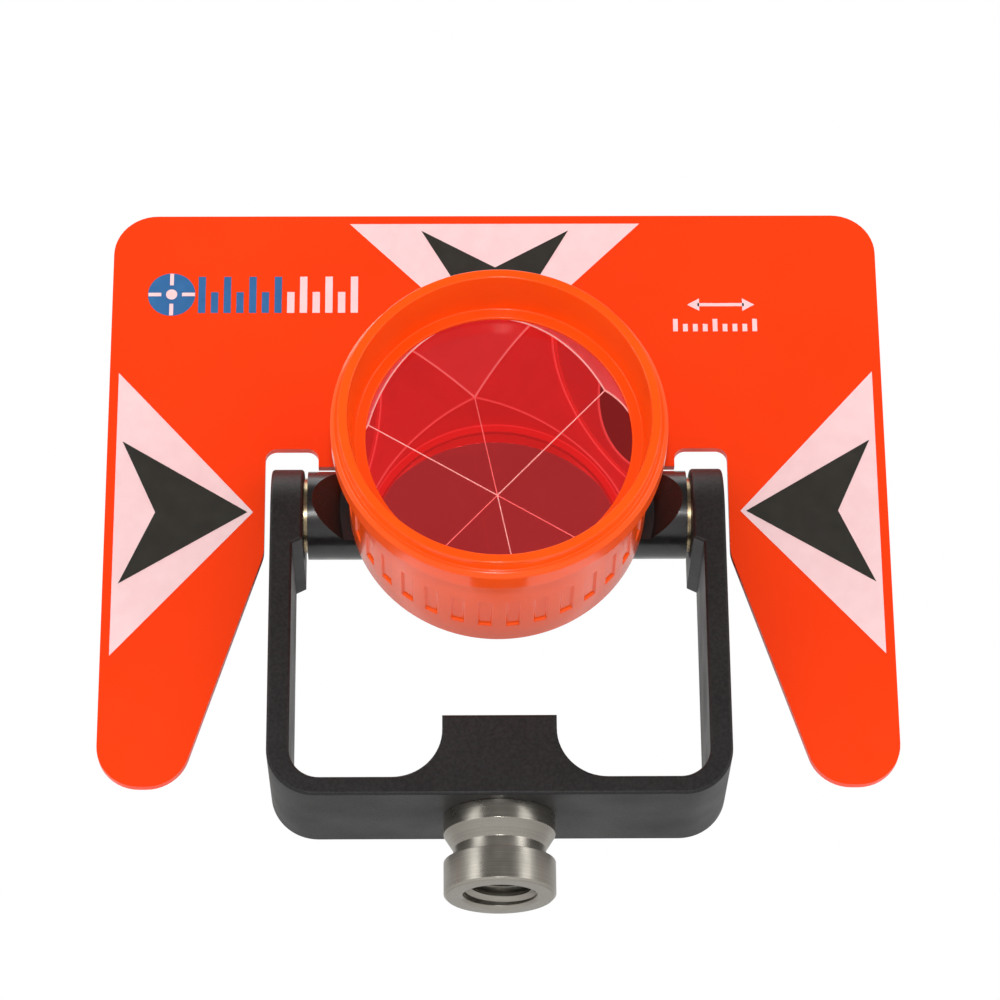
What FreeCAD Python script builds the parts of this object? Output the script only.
import FreeCAD, Part
import math
import os
import re
import Sketcher

# Survey prism: a corner cube in a screwed canister, on a tilting holder with a sighting target.
# Frame: millimetres, +Z up along the pole, +X along the tilt axis, -Y the way the prism looks.
# The origin is the centre of the pole thread's mouth, on the adapter's bottom face.

SIZES = {
    # Sighting target: a flat sheet that stands in the plane of the tilt axis
    "plate_width": 177.8,
    "plate_height": 141.7,
    "plate_top": 76.3,  # above the tilt axis
    "plate_thickness": 2.0,
    "plate_corner_radius": 10.0,
    "leg_end_width": 18.1,
    "leg_end_radius": 9.6,
    "leg_bend_drop": 9.8,  # below the tilt axis, where the legs start to narrow
    "leg_bend_radius": 8.0,
    "leg_arm_gap": 1.9,
    "tab_arm_gap": 3.0,
    "tab_boss_gap": 1.7,
    "notch_swing_gap": 1.0,  # lets the notch pass the arm's back when the head tips
    "notch_radius": 2.6,
    "tab_step": 3.4,  # least step from the notch down to the tab's edge
    # Yoke: the U-shaped frame
    "yoke_width": 101.6,
    "yoke_depth": 30.4,
    "arm_thickness": 5.0,
    "pad_step": 2.2,  # the arm heads stand in by this much
    "pad_drop": 12.0,
    "head_centre_drop": 5.2,
    "bar_drop": 68.2,  # from the tilt axis down to the cross bar
    "bar_thickness": 4.2,
    "block_width": 25.0,
    "block_rise": 14.2,
    "block_fillet": 11.0,
    "inner_corner_radius": 6.5,
    "outer_corner_radius": 10.7,
    "yoke_edge_round": 0.7,
    # Pole adapter, turned steel, with a 5/8 inch 11 thread for the pole
    "adapter_radius": 12.3,
    "adapter_length": 18.4,
    "adapter_top_band": 4.2,
    "adapter_cone": 3.4,
    "adapter_groove": 3.0,
    "adapter_groove_radius": 10.2,
    "adapter_chamfer": 0.6,
    "thread_radius": 7.94,
    "thread_depth": 13.0,
    "spigot_radius": 7.0,
    "spigot_length": 3.8,
    "spigot_end_gap": 0.2,
    # M6 cap screw that clamps the adapter, and its lock washer
    "clamp_thread_radius": 3.0,
    "clamp_head_radius": 5.0,
    "clamp_head_height": 6.0,
    "clamp_socket": 5.0,  # across the flats
    "clamp_socket_depth": 3.0,
    "clamp_screw_reach": 8.0,  # length in the adapter
    "clamp_hole_gap": 0.3,
    "clamp_counterbore_gap": 1.2,
    "clamp_head_sink": 0.4,
    "lock_washer_thickness": 1.6,
    "lock_washer_rim": 2.6,
    # Tilt pivots: shoulder screws in flanged bushes, held by disc springs
    "pivot_shoulder_radius": 4.5,
    "pivot_thread_radius": 3.0,
    "pivot_thread_length": 11.5,
    "pivot_head_step": 3.0,
    "pivot_head_height": 2.0,
    "pivot_head_sink": 0.2,
    "pivot_socket": 5.0,
    "pivot_socket_depth": 3.4,
    "pivot_counterbore_gap": 0.5,
    "disc_spring_thickness": 0.5,
    "disc_spring_rim": 2.8,
    "bush_wall": 1.45,
    "bush_flange_step": 2.5,
    "bush_flange_thickness": 0.8,
    "running_gap": 0.05,
    "thread_gap": 0.05,
    # Holder: the ring that the canister screws into, with its two bosses
    "boss_radius": 10.0,
    "holder_wall": 4.0,
    "holder_seat": 5.5,  # ahead of the tilt axis
    "holder_back": 4.0,
    "scoop_gap": 2.1,
    "scoop_half_angle": 54.0,
    "scoop_reach": 7.0,
    "lug_width": 9.5,
    "lug_thickness": 3.0,
    "lug_angle": 130.0,
    "arch_gap": 0.5,
    # M3 screws that hold the target to the holder's lug
    "plate_screw_radius": 1.5,
    "plate_screw_inset": 4.2,  # from the lug's rim
    "plate_screw_angle": 108.0,  # from the first screw to the last
    "plate_screw_count": 4,
    "plate_screw_hole_gap": 0.15,
    "plate_screw_head_radius": 2.8,
    "plate_screw_head_height": 1.9,
    "plate_screw_socket": 2.0,
    "plate_screw_socket_depth": 1.2,
    "plate_washer_radius": 3.5,
    "plate_washer_thickness": 0.5,
    # Canister barrel, moulded; distances run forward from the tilt axis
    "barrel_wall": 0.95,  # over the front ring's spigot
    "barrel_back": 6.1,
    "barrel_back_round": 1.6,
    "barrel_back_wall": 2.4,
    "neck_wall": 2.5,
    "neck_cube_gap": 0.8,
    "neck_stand_out": 2.0,  # past the holder's back
    "neck_gap": 0.06,
    "grip_front": 28.2,
    "grip_back": 15.6,
    "grip_count": 34,
    "grip_slot_width": 3.0,
    "grip_slot_depth": 0.5,
    # Front ring: hood, bead, lip and the spigot that enters the barrel
    "rim_front": 54.3,
    "rim_wall": 2.05,
    "rim_round": 0.6,
    "bead_step": 3.1,  # outwards from the barrel
    "bead_front": 50.6,
    "bead_back": 43.0,
    "bead_round": 1.3,
    "hood_foot": 42.0,
    "hood_foot_step": 0.4,
    "hood_flare": 1.35,  # from the hood's foot to its rim
    "lip_cover": 2.0,  # how far the lip reaches over the glass
    "lip_thickness": 1.0,
    "ring_spigot_length": 5.8,
    "ring_spigot_wall": 1.1,
    "ring_spigot_gap": 0.05,
    # Corner cube of glass and what holds it
    "glass_radius": 31.0,
    "glass_gap": 0.3,
    "glass_band": 3.16,  # round wall left at the middle of each back face
    "apex_cover": 0.5,  # how far the apex stands past the neck's end, inside the cap
    "glass_edge_turn": 39.0,  # first edge, from +X towards +Z
    "front_seal_thickness": 0.5,
    "front_seal_width": 1.6,
    "cushion_width": 6.4,
    "cushion_gap": 0.1,
    # Rear cap, its gasket, and the slip washer between barrel and holder
    "cap_inset": 0.5,
    "cap_thickness": 2.2,
    "cap_spigot_length": 5.5,
    "cap_spigot_wall": 2.5,
    "cap_gasket_thickness": 0.5,
    "slip_washer_thickness": 0.5,
    "slip_washer_bore_gap": 0.7,
    "slip_washer_edge_gap": 0.3,
}

doc = FreeCAD.newDocument("survey_prism")
sheet = doc.addObject("Spreadsheet::Sheet", "Sizes")
for row, (word, size) in enumerate(SIZES.items(), start=1):
    sheet.set("A%d" % row, word.replace("_", " "))
    sheet.set("B%d" % row, str(size))
    sheet.setAlias("B%d" % row, word)
doc.recompute()

# Places worked out from the driving sizes
AXIS_RISE = "adapter_length + bar_thickness + bar_drop"
ARM_OUTER = "yoke_width / 2"
ARM_INNER = "yoke_width / 2 - arm_thickness"
PAD_FACE = "yoke_width / 2 - arm_thickness - pad_step"
HEAD_TOP = "yoke_depth / 2 - head_centre_drop"
BAR_UNDER = "-bar_drop - bar_thickness"
BLOCK_TOP = "block_rise - bar_drop"
CLAMP_SEAT = BLOCK_TOP + " - clamp_head_sink - clamp_head_height - lock_washer_thickness"
PIVOT_SEAT = (ARM_OUTER + " - pivot_head_sink - pivot_head_height - disc_spring_thickness"
              " - 2 * running_gap")
PIVOT_HEAD = ARM_OUTER + " - pivot_head_sink - pivot_head_height"
BOSS_END = PAD_FACE + " - bush_flange_thickness - running_gap"
PIVOT_HEAD_RIM = "pivot_shoulder_radius + pivot_head_step"
BUSH_BORE = "pivot_shoulder_radius + running_gap"
BUSH_OUTER = BUSH_BORE + " + bush_wall"
BUSH_FLANGE = BUSH_OUTER + " + bush_flange_step"
LIP_BACK = "hood_foot - lip_thickness"
GLASS_FRONT = LIP_BACK + " - front_seal_thickness"
GLASS_BORE = "glass_radius + glass_gap"
GLASS_DEPTH = "sqrt(2) * glass_radius + glass_band"
APEX = GLASS_DEPTH + " - (%s)" % GLASS_FRONT
RING_SPIGOT = GLASS_BORE + " + ring_spigot_wall"
BARREL_RIM = RING_SPIGOT + " + ring_spigot_gap + barrel_wall"
BEAD_RIM = BARREL_RIM + " + bead_step"
HOOD_FOOT = "glass_radius + hood_foot_step"
HOOD_MOUTH = HOOD_FOOT + " + hood_flare"
HOOD_RIM = HOOD_MOUTH + " + rim_wall"
LIP_BORE = "glass_radius - lip_cover"
CUSHION_BORE = "glass_radius - cushion_width"
NECK_BORE = "sqrt(2) * (%s + barrel_back + barrel_back_wall) + neck_cube_gap" % APEX
NECK_RIM = NECK_BORE + " + neck_wall"
NECK_END = "max(holder_back + neck_stand_out; %s - apex_cover)" % APEX
HOLDER_RIM = NECK_RIM + " + holder_wall"
LUG_RIM = HOLDER_RIM + " + lug_width"
SCREW_CIRCLE = LUG_RIM + " - plate_screw_inset"
TAB_BOTTOM = "boss_radius + tab_boss_gap"
NOTCH_TOP = "max(yoke_depth / 2 + notch_swing_gap; %s + tab_step)" % TAB_BOTTOM
PLATE_BOTTOM = "plate_top - plate_height"


def bind(expression):
    """Point every size word in an expression at its cell."""
    return re.sub(r"[a-z]\w*_\w+", lambda word: "Sizes." + word.group(0), expression)


def number(expression):
    """Present value of an expression, in millimetres."""
    return float(sheet.evalExpression(bind(expression)))


def new_body(label, rise="0"):
    """Body that stands on the Z axis, as far above the origin as rise says."""
    body = doc.addObject("PartDesign::Body", label)
    body.Label = label
    body.setExpression("Placement.Base.z", bind(rise))
    return body


def new_sketch(body, name, plane):
    """Sketch on one of the body's own origin planes."""
    support = [flat for flat in body.Origin.OriginFeatures if flat.Role == plane][0]
    sketch = body.newObject("Sketcher::SketchObject", name)
    sketch.AttachmentSupport = (support, "")
    sketch.MapMode = "FlatFace"
    return sketch


def pin(sketch, geometry, point, across, up):
    """Hold a point at its two distances from the sketch's origin."""
    for kind, expression, axis in (("DistanceX", across, -2), ("DistanceY", up, -1)):
        if expression == "0":
            sketch.addConstraint(Sketcher.Constraint("PointOnObject", geometry, point, axis))
            continue
        value = number(expression)
        index = sketch.addConstraint(Sketcher.Constraint(kind, -1, 1, geometry, point, value))
        sketch.setExpression("Constraints[%d]" % index, bind(expression))


def outline(sketch, corners):
    """Closed run of straight lines through corners, each given by two expressions."""
    points = [FreeCAD.Vector(number(across), number(up), 0) for across, up in corners]
    count = len(points)
    for index in range(count):
        sketch.addGeometry(Part.LineSegment(points[index], points[(index + 1) % count]))
    for index in range(count):
        sketch.addConstraint(Sketcher.Constraint("Coincident", index, 2, (index + 1) % count, 1))
    for index, (across, up) in enumerate(corners):
        pin(sketch, index, 1, across, up)


def circle(sketch, across, up, radius):
    """Circle whose centre and radius follow expressions."""
    centre = FreeCAD.Vector(number(across), number(up), 0)
    index = sketch.addGeometry(Part.Circle(centre, FreeCAD.Vector(0, 0, 1), number(radius)))
    pin(sketch, index, 3, across, up)
    size = sketch.addConstraint(Sketcher.Constraint("Radius", index, number(radius)))
    sketch.setExpression("Constraints[%d]" % size, bind(radius))


def mirrored(corners):
    """Corners of the right half, then the same corners on the left in the other order."""
    left = [("-(%s)" % across, up) for across, up in reversed(corners)]
    return corners + left


def turn(body, name, plane, corners, axis, kind="Revolution"):
    """Full turn of an outline about one of its sketch's axes, added or cut away."""
    sketch = new_sketch(body, name + "_outline", plane)
    outline(sketch, corners)
    feature = body.newObject("PartDesign::" + kind, name)
    feature.Profile = sketch
    feature.ReferenceAxis = (sketch, [axis])
    feature.Angle = 360
    return feature


def extrude(body, name, sketch, length, kind="Pad"):
    """Straight pad or pocket, equally to both sides of its sketch."""
    feature = body.newObject("PartDesign::" + kind, name)
    feature.Profile = sketch
    feature.SideType = "Symmetric"
    feature.setExpression("Length", bind(length))
    return feature


def find_edges(feature, wanted):
    """Names of the feature's edges that the test picks."""
    doc.recompute()
    edges = enumerate(feature.Shape.Edges, start=1)
    return ["Edge%d" % index for index, edge in edges if wanted(edge)]


def round_edges(body, name, radius, wanted):
    """Fillet on the edges of the body's present shape that the test picks."""
    base = body.Tip
    edges = find_edges(base, wanted)
    feature = body.newObject("PartDesign::Fillet", name)
    feature.Base = (base, edges)
    feature.setExpression("Radius", bind(radius))
    return feature


def corner_line(across, up, direction, tolerance=0.01):
    """Test for a straight edge along direction that passes through one corner of an outline."""
    place = (number(across), number(up))

    def wanted(edge):
        start, end = edge.Vertexes[0].Point, edge.Vertexes[-1].Point
        if abs((end - start).normalize().dot(direction)) < 1 - tolerance:
            return False
        return math.hypot(start.x - place[0], start.z - place[1]) < tolerance
    return wanted


def any_of(tests):
    """Test that passes when one of several does."""
    return lambda edge: any(test(edge) for test in tests)


def mirror_left(body, name, feature):
    """The same feature again on the other side of the middle plane."""
    doc.recompute()
    plane = [flat for flat in body.Origin.OriginFeatures if flat.Role == "YZ_Plane"][0]
    copy = body.newObject("PartDesign::Mirrored", name)
    copy.Originals = [feature]
    copy.MirrorPlane = (plane, [""])
    body.Tip = copy
    return copy


def repeat_round(body, name, feature, axis_role, count, angle):
    """The same feature again at even steps round one of the body's axes."""
    doc.recompute()
    line = [flat for flat in body.Origin.OriginFeatures if flat.Role == axis_role][0]
    pattern = body.newObject("PartDesign::PolarPattern", name)
    pattern.Originals = [feature]
    pattern.Axis = (line, [""])
    pattern.setExpression("Occurrences", bind(count))
    pattern.setExpression("Angle", bind(angle))
    body.Tip = pattern
    return pattern


def hex_pocket(body, name, plane, across_flats, start, depth):
    """Hexagon socket, cut from start inwards by depth along the sketch's normal."""
    sketch = new_sketch(body, name + "_outline", plane)
    sketch.AttachmentOffset = FreeCAD.Placement()
    sketch.setExpression("AttachmentOffset.Base.z", bind(start))
    flat_radius = "(%s) / sqrt(3)" % across_flats
    corners = [(flat_radius + " * cos(%d deg)" % step, flat_radius + " * sin(%d deg)" % step)
               for step in (60, 120, 240, 300)]
    outline(sketch, [(flat_radius, "0")] + corners[:2] + [("-" + flat_radius, "0")] + corners[2:])
    feature = body.newObject("PartDesign::Pocket", name)
    feature.Profile = sketch
    feature.setExpression("Length", bind(depth))
    return feature


ALONG_Y = FreeCAD.Vector(0, 1, 0)
MARGIN = "yoke_edge_round"  # how far a cut runs past the surface it opens


# --- Yoke ---------------------------------------------------------------------------------------

def make_yoke():
    """U-frame: arms with thicker round heads, a bar, and a block that takes the adapter's screw."""
    body = new_body("yoke_frame", AXIS_RISE)
    corners = mirrored([
        (ARM_OUTER, BAR_UNDER),
        (ARM_OUTER, HEAD_TOP),
        (PAD_FACE, HEAD_TOP),
        (PAD_FACE, "-pad_drop"),
        (ARM_INNER, "-pad_drop - pad_step / 2"),
        (ARM_INNER, "-bar_drop"),
        ("block_width / 2", "-bar_drop"),
        ("block_width / 2", BLOCK_TOP),
    ])
    sketch = new_sketch(body, "yoke_outline", "XZ_Plane")
    outline(sketch, corners)
    extrude(body, "yoke_pad", sketch, "yoke_depth")
    both = (ARM_OUTER, "-(%s)" % ARM_OUTER)
    round_edges(body, "outer_corners", "outer_corner_radius",
                any_of([corner_line(side, BAR_UNDER, ALONG_Y) for side in both]))
    both = (ARM_INNER, "-(%s)" % ARM_INNER)
    round_edges(body, "inner_corners", "inner_corner_radius",
                any_of([corner_line(side, "-bar_drop", ALONG_Y) for side in both]))
    both = ("block_width / 2", "-(block_width / 2)")
    round_edges(body, "block_fillets", "block_fillet",
                any_of([corner_line(side, "-bar_drop", ALONG_Y) for side in both]))

    half_depth = number("yoke_depth / 2")
    centre = number("-head_centre_drop")
    top = number(HEAD_TOP + " + " + MARGIN)
    sketch = new_sketch(body, "head_round_outline", "YZ_Plane")
    sketch.addGeometry(Part.ArcOfCircle(
        Part.Circle(FreeCAD.Vector(0, centre, 0), FreeCAD.Vector(0, 0, 1), half_depth), 0, math.pi))
    side = half_depth + number(MARGIN)
    run = [(-half_depth, centre), (-side, centre), (-side, top), (side, top), (side, centre),
           (half_depth, centre)]
    for start, end in zip(run, run[1:]):
        sketch.addGeometry(Part.LineSegment(FreeCAD.Vector(*start, 0), FreeCAD.Vector(*end, 0)))
    for index in range(1, 5):
        sketch.addConstraint(Sketcher.Constraint("Coincident", index, 2, index + 1, 1))
    sketch.addConstraint(Sketcher.Constraint("Coincident", 0, 2, 1, 1))
    sketch.addConstraint(Sketcher.Constraint("Coincident", 0, 1, 5, 2))
    pin(sketch, 0, 3, "0", "-head_centre_drop")
    pin(sketch, 1, 1, "-yoke_depth / 2", "-head_centre_drop")
    sketch.addConstraint(Sketcher.Constraint("Horizontal", 5))
    pin(sketch, 2, 1, "-yoke_depth / 2 - " + MARGIN, "-head_centre_drop")
    pin(sketch, 2, 2, "-yoke_depth / 2 - " + MARGIN, HEAD_TOP + " + " + MARGIN)
    pin(sketch, 4, 1, "yoke_depth / 2 + " + MARGIN, HEAD_TOP + " + " + MARGIN)
    pin(sketch, 4, 2, "yoke_depth / 2 + " + MARGIN, "-head_centre_drop")
    extrude(body, "head_round", sketch, "yoke_width + 2 * " + MARGIN, "Pocket")

    faces = number("yoke_depth / 2")

    def on_front_or_back(edge):
        return all(abs(abs(vertex.Point.y) - faces) < 0.01 and vertex.Point.z < centre + 0.01
                   for vertex in edge.Vertexes) and abs(edge.CenterOfMass.y) > faces - 0.01

    def on_head_round(edge):
        return (edge.Curve.TypeId == "Part::GeomCircle" and abs(edge.Curve.Axis.x) > 0.99
                and edge.Vertexes[0].Point.z < centre + 0.01)
    round_edges(body, "edge_rounds", "yoke_edge_round", any_of([on_front_or_back, on_head_round]))

    pivot = turn(body, "pivot_bore", "XY_Plane", [
        (PAD_FACE + " - " + MARGIN, "0"),
        (PAD_FACE + " - " + MARGIN, BUSH_OUTER),
        (PIVOT_SEAT, BUSH_OUTER),
        (PIVOT_SEAT, PIVOT_HEAD_RIM + " + pivot_counterbore_gap"),
        (ARM_OUTER + " + " + MARGIN, PIVOT_HEAD_RIM + " + pivot_counterbore_gap"),
        (ARM_OUTER + " + " + MARGIN, "0"),
    ], "H_Axis", "Groove")
    mirror_left(body, "pivot_bore_left", pivot)
    turn(body, "clamp_bore", "XZ_Plane", [
        ("0", BAR_UNDER + " - " + MARGIN),
        ("spigot_radius + running_gap", BAR_UNDER + " - " + MARGIN),
        ("spigot_radius + running_gap", BAR_UNDER + " + spigot_length + spigot_end_gap"),
        ("clamp_thread_radius + clamp_hole_gap", BAR_UNDER + " + spigot_length + spigot_end_gap"),
        ("clamp_thread_radius + clamp_hole_gap", CLAMP_SEAT),
        ("clamp_head_radius + clamp_counterbore_gap", CLAMP_SEAT),
        ("clamp_head_radius + clamp_counterbore_gap", BLOCK_TOP + " + " + MARGIN),
        ("0", BLOCK_TOP + " + " + MARGIN),
    ], "V_Axis", "Groove")
    return body


# --- Pole adapter and its screw --------------------------------------------------------------------

def make_adapter():
    """Turned adapter: pole thread below, waist for a quick clamp, spigot and tapped hole above."""
    body = new_body("thread_adapter")
    top = "adapter_length"
    cone_top = "adapter_length - adapter_top_band"
    cone_foot = cone_top + " - adapter_cone"
    tap = "clamp_thread_radius + thread_gap"
    turn(body, "adapter_turned", "XZ_Plane", [
        ("thread_radius", "0"),
        ("adapter_radius - adapter_chamfer", "0"),
        ("adapter_radius", "adapter_chamfer"),
        ("adapter_radius", cone_foot + " - adapter_groove"),
        ("adapter_groove_radius", cone_foot + " - adapter_groove"),
        ("adapter_groove_radius", cone_foot),
        ("adapter_radius", cone_top),
        ("adapter_radius", top),
        ("spigot_radius", top),
        ("spigot_radius", top + " + spigot_length"),
        (tap, top + " + spigot_length"),
        (tap, "thread_depth"),
        ("thread_radius", "thread_depth"),
    ], "V_Axis")
    return body


def make_clamp_screw():
    """Cap screw, head up in the block's counterbore."""
    body = new_body("adapter_screw", AXIS_RISE)
    under_head = CLAMP_SEAT + " + lock_washer_thickness"
    head_top = under_head + " + clamp_head_height"
    tip = BAR_UNDER + " + spigot_length - clamp_screw_reach"
    turn(body, "screw_turned", "XZ_Plane", [
        ("0", tip),
        ("clamp_thread_radius", tip),
        ("clamp_thread_radius", under_head),
        ("clamp_head_radius", under_head),
        ("clamp_head_radius", head_top),
        ("0", head_top),
    ], "V_Axis")
    hex_pocket(body, "socket", "XY_Plane", "clamp_socket", head_top, "clamp_socket_depth")
    return body


def make_lock_washer():
    """Flat-lying spring washer under the cap screw's head."""
    body = new_body("adapter_lock_washer", AXIS_RISE)
    bore = "clamp_thread_radius + clamp_hole_gap"
    top = CLAMP_SEAT + " + lock_washer_thickness"
    turn(body, "washer_turned", "XZ_Plane", [
        (bore, CLAMP_SEAT),
        (bore + " + lock_washer_rim", CLAMP_SEAT),
        (bore + " + lock_washer_rim", top),
        (bore, top),
    ], "V_Axis")
    return body


# --- Tilt pivots -----------------------------------------------------------------------------------

def to_side(body, side):
    """Leave a right-hand piece where it is, or turn it half round for the left arm."""
    if side == "left":
        rise = body.Placement.Base.z
        body.Placement = FreeCAD.Placement(FreeCAD.Vector(0, 0, rise), FreeCAD.Rotation(180, 0, 0))
        body.setExpression("Placement.Base.z", bind(AXIS_RISE))


def make_bush(side):
    """Flanged brass bush: the tube fills the arm's bore, the flange faces the holder's boss."""
    body = new_body("pivot_bush_" + side, AXIS_RISE)
    turn(body, "bush_turned_" + side, "XY_Plane", [
        (BOSS_END + " + running_gap", BUSH_BORE),
        (BOSS_END + " + running_gap", BUSH_FLANGE),
        (PAD_FACE, BUSH_FLANGE),
        (PAD_FACE, BUSH_OUTER),
        (PIVOT_SEAT, BUSH_OUTER),
        (PIVOT_SEAT, BUSH_BORE),
    ], "H_Axis")
    to_side(body, side)
    return body


def make_disc_spring(side):
    """Spring washer that loads the pivot, between the counterbore's floor and the screw's head."""
    body = new_body("disc_spring_" + side, AXIS_RISE)
    bore = "pivot_shoulder_radius + 2 * running_gap"
    outer = PIVOT_SEAT + " + running_gap + disc_spring_thickness"
    turn(body, "spring_turned_" + side, "XY_Plane", [
        (PIVOT_SEAT + " + running_gap", bore),
        (PIVOT_SEAT + " + running_gap", bore + " + disc_spring_rim"),
        (outer, bore + " + disc_spring_rim"),
        (outer, bore),
    ], "H_Axis")
    to_side(body, side)
    return body


def make_pivot_screw(side):
    """Shoulder screw: its shoulder bears on the boss's end and runs in the bush."""
    body = new_body("pivot_screw_" + side, AXIS_RISE)
    head_end = PIVOT_HEAD + " + pivot_head_height"
    turn(body, "pivot_turned_" + side, "XY_Plane", [
        (BOSS_END + " - pivot_thread_length", "0"),
        (BOSS_END + " - pivot_thread_length", "pivot_thread_radius"),
        (BOSS_END, "pivot_thread_radius"),
        (BOSS_END, "pivot_shoulder_radius"),
        (PIVOT_HEAD, "pivot_shoulder_radius"),
        (PIVOT_HEAD, PIVOT_HEAD_RIM),
        (head_end, PIVOT_HEAD_RIM),
        (head_end, "0"),
    ], "H_Axis")
    hex_pocket(body, "pivot_socket_cut_" + side, "YZ_Plane", "pivot_socket", head_end,
               "pivot_socket_depth")
    to_side(body, side)
    return body


# --- Holder ----------------------------------------------------------------------------------------

def make_holder():
    """Threaded ring with two bosses on the tilt axis and a lug plate behind the target."""
    body = new_body("prism_holder", AXIS_RISE)
    bore = NECK_RIM + " + neck_gap"
    scoop = BARREL_RIM + " + scoop_gap"
    sketch = new_sketch(body, "boss_outline", "YZ_Plane")
    circle(sketch, "0", "0", "boss_radius")
    extrude(body, "bosses", sketch, "2 * (%s)" % BOSS_END)
    turn(body, "ring", "XY_Plane", [
        (bore, "-holder_seat"),
        (HOLDER_RIM, "-holder_seat"),
        (HOLDER_RIM, "holder_back"),
        (bore, "holder_back"),
    ], "V_Axis")
    sketch = new_sketch(body, "lug_outline", "YZ_Plane")
    outline(sketch, [
        ("plate_thickness / 2", "(%s + %s) / 2" % (NECK_RIM, HOLDER_RIM)),
        ("plate_thickness / 2", LUG_RIM),
        ("plate_thickness / 2 + lug_thickness", LUG_RIM),
        ("plate_thickness / 2 + lug_thickness", "(%s + %s) / 2" % (NECK_RIM, HOLDER_RIM)),
    ])
    lug = body.newObject("PartDesign::Revolution", "lug")
    lug.Profile = sketch
    lug.ReferenceAxis = (sketch, ["H_Axis"])
    lug.Midplane = True
    lug.setExpression("Angle", bind("lug_angle"))
    turn(body, "scoop", "XY_Plane", [
        ("0", "boss_radius + scoop_reach"),
        (bore, "boss_radius + scoop_reach"),
        (bore, "-holder_seat"),
        (scoop, "-holder_seat"),
        (scoop + " + scoop_reach * tan(scoop_half_angle * 1deg)", "-holder_seat - scoop_reach"),
        ("0", "-holder_seat - scoop_reach"),
    ], "V_Axis", "Groove")
    tap = turn(body, "pivot_tap", "XY_Plane", [
        (BOSS_END + " - pivot_thread_length - thread_gap", "0"),
        (BOSS_END + " - pivot_thread_length - thread_gap", "pivot_thread_radius + thread_gap"),
        (BOSS_END + " + running_gap", "pivot_thread_radius + thread_gap"),
        (BOSS_END + " + running_gap", "0"),
    ], "H_Axis", "Groove")
    mirror_left(body, "pivot_tap_left", tap)
    plate_holes(body, "plate_screw_radius + thread_gap")
    return body


def plate_holes(body, radius):
    """Holes for the target's screws, in an arc over the holder's ring."""
    sketch = new_sketch(body, body.Label + "_hole", "XZ_Plane")
    first = "(90 + plate_screw_angle / 2) * 1deg"
    across = "(%s) * cos(%s)" % (SCREW_CIRCLE, first)
    up = "(%s) * sin(%s)" % (SCREW_CIRCLE, first)
    circle(sketch, across, up, radius)
    hole = extrude(body, body.Label + "_hole_cut", sketch, "4 * lug_thickness", "Pocket")
    repeat_round(body, body.Label + "_holes", hole, "Y_Axis", "plate_screw_count", "plate_screw_angle")


# --- Target ----------------------------------------------------------------------------------------

def make_target():
    """Flat target: two tapering legs outside the yoke, a tab between its arms, an arch for the ring."""
    body = new_body("target_plate", AXIS_RISE)
    leg_inner = ARM_OUTER + " + leg_arm_gap"
    tab_side = PAD_FACE + " - tab_arm_gap"
    leg_end = "plate_width / 2 - leg_end_width"
    corners = mirrored([
        ("plate_width / 2", "plate_top"),
        ("plate_width / 2", PLATE_BOTTOM),
        (leg_end, PLATE_BOTTOM),
        (leg_inner, "-leg_bend_drop"),
        (leg_inner, NOTCH_TOP),
        (tab_side, NOTCH_TOP),
        (tab_side, TAB_BOTTOM),
    ])
    sketch = new_sketch(body, "target_outline", "XZ_Plane")
    outline(sketch, corners)
    extrude(body, "target_sheet", sketch, "plate_thickness")
    rounds = (
        ("top_corners", "plate_corner_radius", [("plate_width / 2", "plate_top")]),
        ("leg_ends", "leg_end_radius", [("plate_width / 2", PLATE_BOTTOM), (leg_end, PLATE_BOTTOM)]),
        ("leg_bends", "leg_bend_radius", [(leg_inner, "-leg_bend_drop")]),
        ("notch_corners", "notch_radius", [(leg_inner, NOTCH_TOP), (tab_side, NOTCH_TOP)]),
    )
    for name, radius, places in rounds:
        tests = [corner_line(across, up, ALONG_Y) for across, up in places]
        tests += [corner_line("-(%s)" % across, up, ALONG_Y) for across, up in places]
        round_edges(body, name, radius, any_of(tests))
    sketch = new_sketch(body, "arch_outline", "XZ_Plane")
    circle(sketch, "0", "0", HOLDER_RIM + " + arch_gap")
    extrude(body, "arch", sketch, "4 * plate_thickness", "Pocket")
    plate_holes(body, "plate_screw_radius + plate_screw_hole_gap")
    return body


def copies_on_plate(label, single):
    """One solid for each of the target's screw places, made from a single one facing -Y."""
    count = int(number("plate_screw_count"))
    spread = number("plate_screw_angle")
    solids = []
    for index in range(count):
        angle = math.radians(90 - spread / 2 + spread * index / (count - 1))
        solid = single.copy()
        solid.translate(FreeCAD.Vector(math.cos(angle), 0, math.sin(angle)) * number(SCREW_CIRCLE))
        solids.append(solid)
    group = doc.addObject("Part::Feature", label)
    group.Label = label
    group.Shape = Part.makeCompound(solids)
    group.Placement = FreeCAD.Placement(FreeCAD.Vector(0, 0, number(AXIS_RISE)), FreeCAD.Rotation())
    return group


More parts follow.
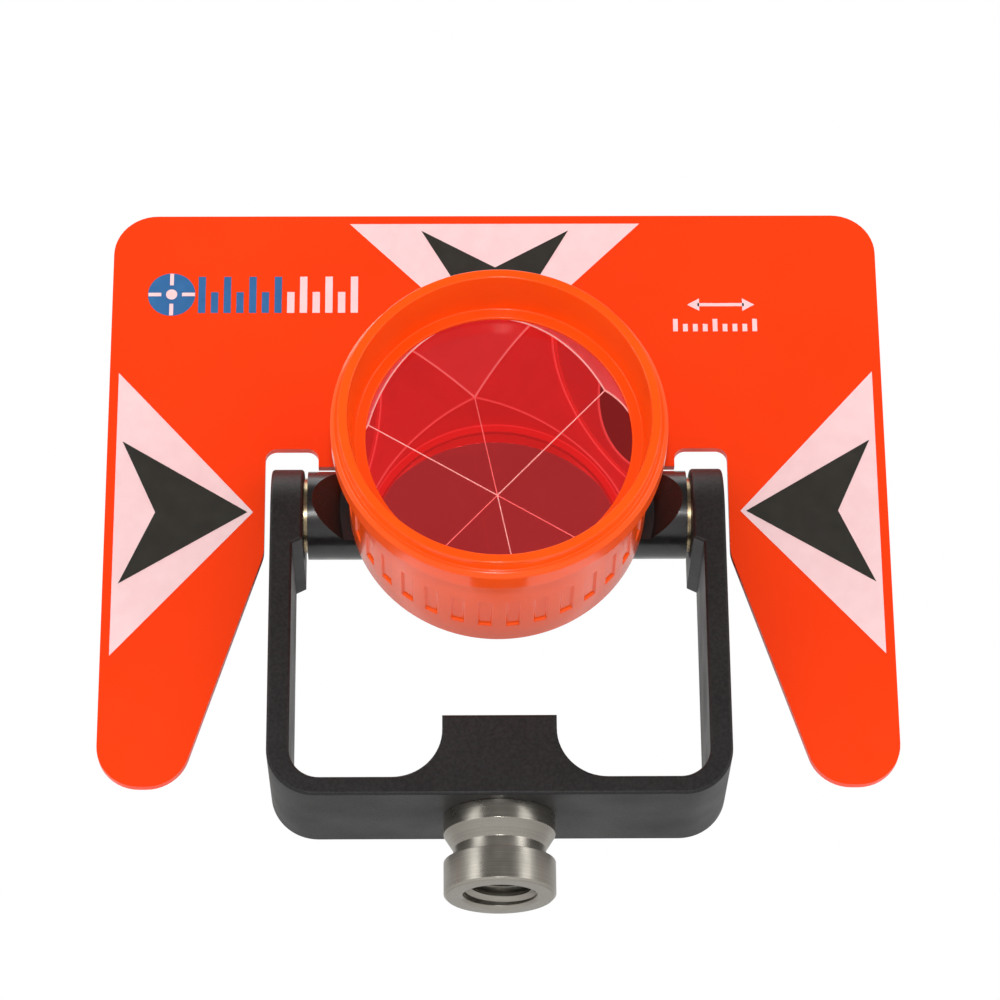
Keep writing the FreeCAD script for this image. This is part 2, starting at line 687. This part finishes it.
def make_plate_screws():
    """Button-head screws, all alike, through the target into the lug."""
    seat = FreeCAD.Vector(0, -number("plate_thickness / 2 + plate_washer_thickness"), 0)
    length = number("plate_washer_thickness + plate_thickness + lug_thickness")
    height = number("plate_screw_head_height")
    radius = number("plate_screw_head_radius")
    shank = Part.makeCylinder(number("plate_screw_radius"), length, seat, ALONG_Y)
    ball_radius = (radius ** 2 + height ** 2) / (2 * height)
    ball = Part.makeSphere(ball_radius, seat + ALONG_Y * (ball_radius - height))
    head = Part.makeCylinder(radius, height, seat, -ALONG_Y).common(ball)
    flat_radius = number("plate_screw_socket") / math.sqrt(3)
    front = seat - ALONG_Y * height
    turns = [step * math.pi / 3 for step in range(7)]
    rim = [front + FreeCAD.Vector(math.cos(turn), 0, math.sin(turn)) * flat_radius for turn in turns]
    socket = Part.Face(Part.makePolygon(rim)).extrude(ALONG_Y * number("plate_screw_socket_depth"))
    return copies_on_plate("plate_screws", shank.fuse(head).cut(socket).removeSplitter())


def make_plate_washers():
    """Flat washers under the target's screws."""
    front = FreeCAD.Vector(0, -number("plate_thickness / 2"), 0)
    thickness = number("plate_washer_thickness")
    bore = number("plate_screw_radius + plate_screw_hole_gap")
    washer = Part.makeCylinder(number("plate_washer_radius"), thickness, front, -ALONG_Y)
    washer = washer.cut(Part.makeCylinder(bore, thickness, front, -ALONG_Y))
    return copies_on_plate("plate_washers", washer)


# --- Canister --------------------------------------------------------------------------------------

def make_barrel():
    """Moulded barrel with a grip of slots, and the neck that screws into the holder."""
    body = new_body("canister_barrel", AXIS_RISE)
    floor = "-barrel_back - barrel_back_wall"
    step = "-bead_back + ring_spigot_length + ring_spigot_gap"
    turn(body, "barrel_turned", "XY_Plane", [
        (RING_SPIGOT + " + ring_spigot_gap", "-bead_back"),
        (BARREL_RIM, "-bead_back"),
        (BARREL_RIM, "-barrel_back"),
        (NECK_RIM, "-barrel_back"),
        (NECK_RIM, NECK_END),
        (NECK_BORE, NECK_END),
        (NECK_BORE, floor),
        (GLASS_BORE, floor),
        (GLASS_BORE, step),
        (RING_SPIGOT + " + ring_spigot_gap", step),
    ], "V_Axis")
    back = number("-barrel_back")
    radius = number(BARREL_RIM)
    round_edges(body, "back_round", "barrel_back_round",
                lambda edge: abs(edge.CenterOfMass.y - back) < 0.01
                and edge.Curve.TypeId == "Part::GeomCircle" and abs(edge.Curve.Radius - radius) < 0.01)
    slot = body.newObject("PartDesign::SubtractiveBox", "grip_slot")
    slot.setExpression("Length", bind("2 * grip_slot_depth"))
    slot.setExpression("Width", bind("grip_front - grip_back"))
    slot.setExpression("Height", bind("grip_slot_width"))
    slot.setExpression("Placement.Base.x", bind(BARREL_RIM + " - grip_slot_depth"))
    slot.setExpression("Placement.Base.y", bind("-grip_front"))
    slot.setExpression("Placement.Base.z", bind("-grip_slot_width / 2"))
    repeat_round(body, "grip_slots", slot, "Y_Axis", "grip_count", "360")
    return body


def make_front_ring():
    """Screwed front ring: hood ahead of the glass, bead, lip over the glass, spigot in the barrel."""
    body = new_body("front_ring", AXIS_RISE)
    spigot_end = "-bead_back + ring_spigot_length"
    turn(body, "ring_turned", "XY_Plane", [
        (HOOD_MOUTH, "-rim_front"),
        (HOOD_RIM, "-rim_front"),
        (HOOD_RIM, "-bead_front"),
        (BEAD_RIM, "-bead_front"),
        (BEAD_RIM, "-bead_back"),
        (RING_SPIGOT, "-bead_back"),
        (RING_SPIGOT, spigot_end),
        (GLASS_BORE, spigot_end),
        (GLASS_BORE, "-(%s)" % LIP_BACK),
        (LIP_BORE, "-(%s)" % LIP_BACK),
        (LIP_BORE, "-hood_foot"),
        (HOOD_FOOT, "-hood_foot"),
    ], "V_Axis")

    def circle_at(radius, forward):
        place = (number(radius), -number(forward))
        return lambda edge: (edge.Curve.TypeId == "Part::GeomCircle"
                             and abs(edge.Curve.Radius - place[0]) < 0.01
                             and abs(edge.CenterOfMass.y - place[1]) < 0.01)
    round_edges(body, "bead_rounds", "bead_round",
                any_of([circle_at(BEAD_RIM, "bead_front"), circle_at(BEAD_RIM, "bead_back")]))
    round_edges(body, "rim_rounds", "rim_round",
                any_of([circle_at(HOOD_RIM, "rim_front"), circle_at(HOOD_MOUTH, "rim_front")]))
    return body


def make_front_seal():
    """Flat gasket between the lip and the glass."""
    body = new_body("front_seal", AXIS_RISE)
    turn(body, "seal_turned", "XY_Plane", [
        ("glass_radius - front_seal_width", "-(%s)" % LIP_BACK),
        ("glass_radius", "-(%s)" % LIP_BACK),
        ("glass_radius", "-(%s)" % GLASS_FRONT),
        ("glass_radius - front_seal_width", "-(%s)" % GLASS_FRONT),
    ], "V_Axis")
    return body


def make_glass():
    """Corner cube: a round bar of glass ending in three faces at right angles to each other."""
    rod = doc.addObject("Part::Cylinder", "glass_rod")
    rod.setExpression("Radius", bind("glass_radius"))
    rod.setExpression("Height", bind(GLASS_DEPTH))
    rod.Placement = FreeCAD.Placement(FreeCAD.Vector(), FreeCAD.Rotation(FreeCAD.Vector(1, 0, 0), -90))
    rod.setExpression("Placement.Base.y", bind("-(%s)" % GLASS_FRONT))
    cube = doc.addObject("Part::Box", "glass_cube")
    for side in ("Length", "Width", "Height"):
        cube.setExpression(side, bind("2 * (%s)" % GLASS_DEPTH))
    corner_forward = FreeCAD.Rotation(FreeCAD.Vector(1, 1, 1), -ALONG_Y)
    first_edge = corner_forward.multVec(FreeCAD.Vector(1, 0, 0))
    lie = math.degrees(math.atan2(first_edge.z, first_edge.x))
    spin = FreeCAD.Rotation(ALONG_Y, lie - number("glass_edge_turn"))
    cube.Placement = FreeCAD.Placement(FreeCAD.Vector(), spin.multiply(corner_forward))
    cube.setExpression("Placement.Base.y", bind(APEX))
    glass = doc.addObject("Part::Common", "glass_prism")
    glass.Label = "glass_prism"
    glass.Base = rod
    glass.Tool = cube
    glass.setExpression("Placement.Base.z", bind(AXIS_RISE))
    return glass


def make_cushion():
    """Rubber ring in the barrel's floor; its cone bears on the cube's three edges."""
    body = new_body("prism_cushion", AXIS_RISE)
    edge_at = APEX + " + cushion_gap - (%s) / sqrt(2)"
    floor = "-barrel_back - barrel_back_wall"
    turn(body, "cushion_turned", "XY_Plane", [
        (CUSHION_BORE, edge_at % CUSHION_BORE),
        (CUSHION_BORE, floor),
        ("glass_radius", floor),
        ("glass_radius", edge_at % "glass_radius"),
    ], "V_Axis")
    return body


def make_rear_cap():
    """Cap that closes the neck: a spigot in its bore and a flange on its end."""
    body = new_body("rear_cap", AXIS_RISE)
    flange = NECK_END + " + cap_gasket_thickness"
    rim = NECK_RIM + " - cap_inset"
    back = flange + " + cap_thickness"
    inside = flange + " + cap_thickness / 4"
    spigot = NECK_BORE + " - thread_gap"
    turn(body, "cap_turned", "XY_Plane", [
        ("0", inside),
        (spigot + " - cap_spigot_wall", inside),
        (spigot + " - cap_spigot_wall", flange + " - cap_spigot_length"),
        (spigot, flange + " - cap_spigot_length"),
        (spigot, flange),
        (rim, flange),
        (rim, back),
        ("0", back),
    ], "V_Axis")
    return body


def make_cap_gasket():
    """Thin gasket between the rear cap's flange and the neck's end."""
    body = new_body("rear_cap_gasket", AXIS_RISE)
    rim = NECK_RIM + " - cap_inset"
    turn(body, "gasket_turned", "XY_Plane", [
        (NECK_BORE, NECK_END),
        (rim, NECK_END),
        (rim, NECK_END + " + cap_gasket_thickness"),
        (NECK_BORE, NECK_END + " + cap_gasket_thickness"),
    ], "V_Axis")
    return body


def make_slip_washer():
    """Loose washer on the neck, between the barrel and the holder's seat."""
    body = new_body("slip_washer", AXIS_RISE)
    bore = NECK_RIM + " + slip_washer_bore_gap"
    rim = HOLDER_RIM + " - slip_washer_edge_gap"
    back = "-holder_seat - running_gap"
    turn(body, "slip_turned", "XY_Plane", [
        (bore, back + " - slip_washer_thickness"),
        (rim, back + " - slip_washer_thickness"),
        (rim, back),
        (bore, back),
    ], "V_Axis")
    return body


pieces = [make_yoke(), make_adapter(), make_clamp_screw(), make_lock_washer()]
for hand in ("left", "right"):
    pieces += [make_bush(hand), make_disc_spring(hand), make_pivot_screw(hand)]
pieces += [make_holder(), make_target(), make_plate_screws(), make_plate_washers()]
pieces += [make_barrel(), make_front_ring(), make_front_seal(), make_glass(), make_cushion()]
pieces += [make_rear_cap(), make_cap_gasket(), make_slip_washer()]

doc.recompute()
for item in doc.Objects:
    if "Invalid" in item.State or "Error" in item.State:
        raise RuntimeError("%s did not build: %s" % (item.Name, item.State))
for piece in pieces:
    if piece.Shape.isNull() or not piece.Shape.isValid():
        raise RuntimeError("%s has no valid shape" % piece.Label)

os.makedirs("parts", exist_ok=True)
for piece in pieces:
    piece.Shape.exportStep("parts/%s.step" % piece.Label)
    box = piece.Shape.BoundBox
    print("%-22s %10.1f mm3  x %7.2f %7.2f  y %7.2f %7.2f  z %7.2f %7.2f" % (
        piece.Label, piece.Shape.Volume, box.XMin, box.XMax, box.YMin, box.YMax, box.ZMin, box.ZMax))
